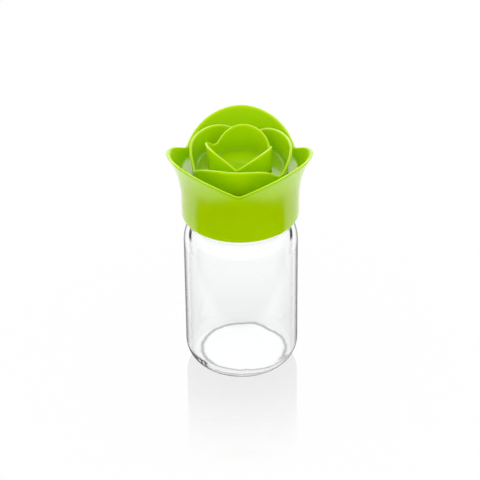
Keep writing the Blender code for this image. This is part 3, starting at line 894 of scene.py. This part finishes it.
def build_middle_petals():
    """Out under the plate, up over the petals, and in over the plate to the hole in its middle."""
    azimuth = petal_turn(MIDDLE_DIP_AZIMUTH)
    foot = (MIDDLE_BASE_RADIUS, middle_low.z)
    floor = middle_low.z + MIDDLE_PLATE
    shape = (MIDDLE_DIP, MIDDLE_PETAL, MIDDLE_WALL, MIDDLE_POWERS, MIDDLE_SPIRAL)
    wall = petal_wall(azimuth, MIDDLE_DIP_AZIMUTH, foot, floor, *shape)
    hole_radius = UPSTAND_RADIUS + FIT_GAP
    before = [(hole_radius, middle_low.z), foot]
    after = [(hole_radius, floor), (hole_radius, middle_low.z)]
    return petal_piece("middle_petal_ring", azimuth, before, wall, after)


middle = build_middle_petals()
middle.data.materials.append(green_plastic)
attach(middle, "lid")
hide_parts("middle_petals")


# Petal cup. The rose's heart, again in green: a cup of three petals whose spigot is pressed into
# the shell's upstand, so that it holds the middle ring down. Its mould was filled from the floor's
# middle, and left a small mark there.

cup_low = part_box("inner_petal_cup")[0]
MIDDLE_CHANNEL = 0.0057
CUP_BASE_RADIUS = MIDDLE_BASE_RADIUS - MIDDLE_WALL - MIDDLE_CHANNEL
CUP_BASE_ROUNDING = 0.0012
CUP_SEAT = UPSTAND_TOP + FIT_GAP
CUP_FLOOR = 0.0015
CUP_WALL = 0.0012
CUP_DIP = (-0.0003, 0.0052)
CUP_PETAL = (0.0004, 0.0115)
CUP_SPIRAL = 0.0009
CUP_POWERS = (2.05, 2.0, 1.5)
CUP_DIP_AZIMUTH = np.radians(-97.9)
SPIGOT_RADIUS = UPSTAND_RADIUS - UPSTAND_WALL - FIT_GAP
SPIGOT_WALL = 0.0012

# The gate's groove: its (radius, depth) from the outside inwards.
GATE_GROOVE = ((0.00165, 0.0), (0.0011, 0.0002), (0.00055, 0.0002), (0.000275, 0.0))


def build_cup():
    """Out under the seat round the spigot, up and over the petals, and in over the floor.

    The gate's mark is a ring-shaped groove with sloping sides in the floor's middle.
    """
    azimuth = petal_turn(CUP_DIP_AZIMUTH)
    foot = (CUP_BASE_RADIUS, CUP_SEAT + CUP_BASE_ROUNDING)
    floor = CUP_SEAT + CUP_FLOOR
    shape = (CUP_DIP, CUP_PETAL, CUP_WALL, CUP_POWERS, CUP_SPIRAL)
    wall = petal_wall(azimuth, CUP_DIP_AZIMUTH, foot, floor, *shape)
    spigot_bore = SPIGOT_RADIUS - SPIGOT_WALL
    base_corner = (CUP_BASE_RADIUS - CUP_BASE_ROUNDING, CUP_SEAT + CUP_BASE_ROUNDING)
    before = np.vstack((
        [(0.0, CUP_SEAT), (spigot_bore, CUP_SEAT), (spigot_bore, cup_low.z)],
        [(SPIGOT_RADIUS, cup_low.z), (SPIGOT_RADIUS, CUP_SEAT)],
        arc(base_corner, CUP_BASE_ROUNDING, -90, 0, ROUNDING_POINTS),
    ))
    after = [(radius, floor - depth) for radius, depth in GATE_GROOVE] + [(0.0, floor)]
    return petal_piece("petal_cup", azimuth, before, wall, after)


cup = build_cup()
cup.data.materials.append(green_plastic)
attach(cup, "lid")
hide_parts("inner_petal_cup")


# Studio. A white table that mirrors a little what stands on it, one broad softbox overhead, and a
# surround that lights evenly. Gloss sees a white tent in it, dark towards the camera and above,
# with a brighter panel behind. None of this is part of the object.

FLOOR_HALF = 4.0
FLOOR_DROP = 0.00005

# The table to the eye: how much it mirrors, the distances from the jar's axis over which that
# fades, how white it is by itself, and the share of it that takes light and shadow.
FLOOR_MIRROR = 0.55
MIRROR_FADE = (0.012, 0.083)
FLOOR_GLOW = 0.88
FLOOR_SHADOW_SHARE = 0.12

# The table to the light, and then through the glass: shaded near the jar, brighter away from its
# axis and under its floor.
FLOOR_PLAIN = 0.8
FLOOR_SHADE = 0.885
FLOOR_BRIGHTENING = 0.165
SHADE_FADE = (0.017, 0.090)
UNDER_JAR_BRIGHTENING = 0.15
UNDER_JAR_FADE = (0.0215, 0.0235)

# The table to the gloss: a white sheet, wider than it is deep, with white table behind it.
SHEET_FRONT = 0.0630
SHEET_NARROWNESS = 0.70
SHEET_SOFTNESS = 0.014
TABLE_SOFTNESS = 0.012
TABLE_BRIGHTNESS = 1.15

# The surround. Over each pair the tent or its panel fades in or out, as a direction turns to the
# back or upwards.
SURROUND_LIGHT = 0.92
TENT_BRIGHTNESS = 1.25
TENT_BACK = (-0.15, 0.25)
TENT_TOP = (0.60, 0.85)
PANEL_BRIGHTNESS = 2.2
PANEL_BACK = (0.55, 0.70)
PANEL_FOOT = (0.40, 0.48)
PANEL_TOP = (0.60, 0.68)

SOFTBOX_PLACE = (0.0, 0.10, 1.10)
SOFTBOX_AIM = (0.0, 0.0, 0.06)
SOFTBOX_SIZE = 0.9
SOFTBOX_BRIGHTNESS = 0.4


def build_floor():
    """One large square, a hair under the jar."""
    half = FLOOR_HALF
    corners = [(-half, -half), (half, -half), (half, half), (-half, half)]
    mesh = bpy.data.meshes.new("floor")
    mesh.from_pydata([(x, y, -FLOOR_DROP) for x, y in corners], [], [(0, 1, 2, 3)])
    piece = bpy.data.objects.new("floor", mesh)
    bpy.context.scene.collection.objects.link(piece)
    return piece


def white_floor():
    """To the eye it is white with a light shadow, and mirrors a little near the jar.

    To the light it is plain and pale. Through the glass it shows the shade round the jar. To the
    gloss it is white on the sheet and behind the jar, and dark in front.
    """
    material = bpy.data.materials.new("white_floor")
    floor = Finish(material)
    place = floor.node("ShaderNodeTexCoord", output="Object")
    x, y = [floor.node("ShaderNodeSeparateXYZ", {}, {"Vector": place}, axis) for axis in ("X", "Y")]
    away = (x * x + y * y) ** 0.5
    to_eye, glossy, through = floor.rays("Is Camera Ray", "Is Glossy Ray", "Is Transmission Ray")

    plain = floor.node("ShaderNodeBsdfDiffuse", {}, {"Color": grey(FLOOR_PLAIN)})
    shadow = floor.node("ShaderNodeBsdfDiffuse", {}, {"Color": grey(FLOOR_SHADOW_SHARE)})
    glow = floor.node("ShaderNodeEmission", {}, {"Color": grey(1.0), "Strength": FLOOR_GLOW})
    white = floor.node("ShaderNodeAddShader", {}, {0: shadow, 1: glow})
    mirror = floor.node("ShaderNodeBsdfGlossy", {}, {"Color": grey(1.0), "Roughness": 0.0})
    mirroring = (1.0 - floor.ramp(away, *MIRROR_FADE)) * FLOOR_MIRROR
    polished = floor.blend(mirroring, white, mirror)

    under_jar = 1.0 - floor.ramp(away, *UNDER_JAR_FADE)
    shade = floor.ramp(away, *SHADE_FADE) * FLOOR_BRIGHTENING + FLOOR_SHADE
    shade = shade + under_jar * UNDER_JAR_BRIGHTENING
    in_glass = floor.node("ShaderNodeEmission", {}, {"Color": shade})

    out = (x * x * SHEET_NARROWNESS**2 + y * y) ** 0.5
    sheet = 1.0 - floor.ramp(out, SHEET_FRONT, SHEET_FRONT + SHEET_SOFTNESS)
    behind = floor.ramp(y, -TABLE_SOFTNESS, TABLE_SOFTNESS)
    lit = sheet.or_larger(behind) * TABLE_BRIGHTNESS
    in_gloss = floor.node("ShaderNodeEmission", {}, {"Color": lit})

    seen = floor.blend(glossy, floor.blend(to_eye, plain, polished), in_gloss)
    seen = floor.blend(through, seen, in_glass)
    floor.node("ShaderNodeOutputMaterial", {}, {"Surface": seen})
    return material


def white_surround():
    """The world. It lights evenly, and it is plain white to the eye, through glass and in a mirror.

    To a softer gloss it is a white tent with a dark front and top and a brighter panel behind.
    """
    surround = Finish(bpy.context.scene.world)
    towards = surround.node("ShaderNodeTexCoord", output="Generated")
    y, z = [
        surround.node("ShaderNodeSeparateXYZ", {}, {"Vector": towards}, axis) for axis in ("Y", "Z")
    ]
    to_eye, glossy, through, in_mirror = surround.rays(
        "Is Camera Ray", "Is Glossy Ray", "Is Transmission Ray", "Is Singular Ray"
    )
    tent = surround.ramp(y, *TENT_BACK) * (1.0 - surround.ramp(z, *TENT_TOP)) * TENT_BRIGHTNESS
    panel = surround.ramp(z, *PANEL_FOOT) * (1.0 - surround.ramp(z, *PANEL_TOP))
    tent = tent + panel * surround.ramp(y, *PANEL_BACK) * PANEL_BRIGHTNESS
    sharp = through.or_larger(in_mirror)
    strength = (1.0 - glossy) * SURROUND_LIGHT + tent * (glossy - sharp) + sharp
    strength = strength + to_eye * (1.0 - SURROUND_LIGHT)
    sky = surround.node("ShaderNodeBackground", {}, {"Color": grey(1.0), "Strength": strength})
    surround.node("ShaderNodeOutputWorld", {}, {"Surface": sky})


def softbox(name, place, aim, size, brightness):
    """A square lamp that faces a point. Brightness is its radiance, where 1 is white."""
    light = bpy.data.lights.new(name, "AREA")
    light.shape = "SQUARE"
    light.size = size
    light.energy = brightness * np.pi * size**2
    lamp = bpy.data.objects.new(name, light)
    lamp.location = place
    lamp.rotation_euler = (Vector(aim) - Vector(place)).to_track_quat("-Z", "Y").to_euler()
    lamp.visible_glossy = False
    bpy.context.scene.collection.objects.link(lamp)


floor_piece = build_floor()
floor_piece.data.materials.append(white_floor())
bpy.context.scene.world = bpy.context.scene.world or bpy.data.worlds.new("studio")
white_surround()
softbox("overhead_softbox", SOFTBOX_PLACE, SOFTBOX_AIM, SOFTBOX_SIZE, SOFTBOX_BRIGHTNESS)


# Camera. The photograph's own view: a long lens a little under a metre away, 33 degrees above
# level, and a little over half a degree out of plumb.

CAMERA_ELEVATION = np.radians(33.36)
CAMERA_ROLL = 0.011
CAMERA_DISTANCE = 0.950
CAMERA_AIM = (-0.00034, 0.0, 0.06114)
FOCAL_PIXELS = 2166.0
PHOTO_PIXELS = 480.0
SENSOR_WIDTH = 36.0

camera_data = bpy.data.cameras.new("camera")
camera_data.sensor_fit = "HORIZONTAL"
camera_data.sensor_width = SENSOR_WIDTH
camera_data.lens = FOCAL_PIXELS / PHOTO_PIXELS * SENSOR_WIDTH
camera = bpy.data.objects.new("camera", camera_data)
tilt = Matrix.Rotation(np.pi / 2 - CAMERA_ELEVATION, 4, "X")
place = Vector(CAMERA_AIM) + tilt @ Vector((0.0, 0.0, CAMERA_DISTANCE))
camera.matrix_world = Matrix.Translation(place) @ tilt @ Matrix.Rotation(-CAMERA_ROLL, 4, "Z")
bpy.context.scene.collection.objects.link(camera)
bpy.context.scene.camera = camera
bpy.context.scene.view_settings.view_transform = "Standard"
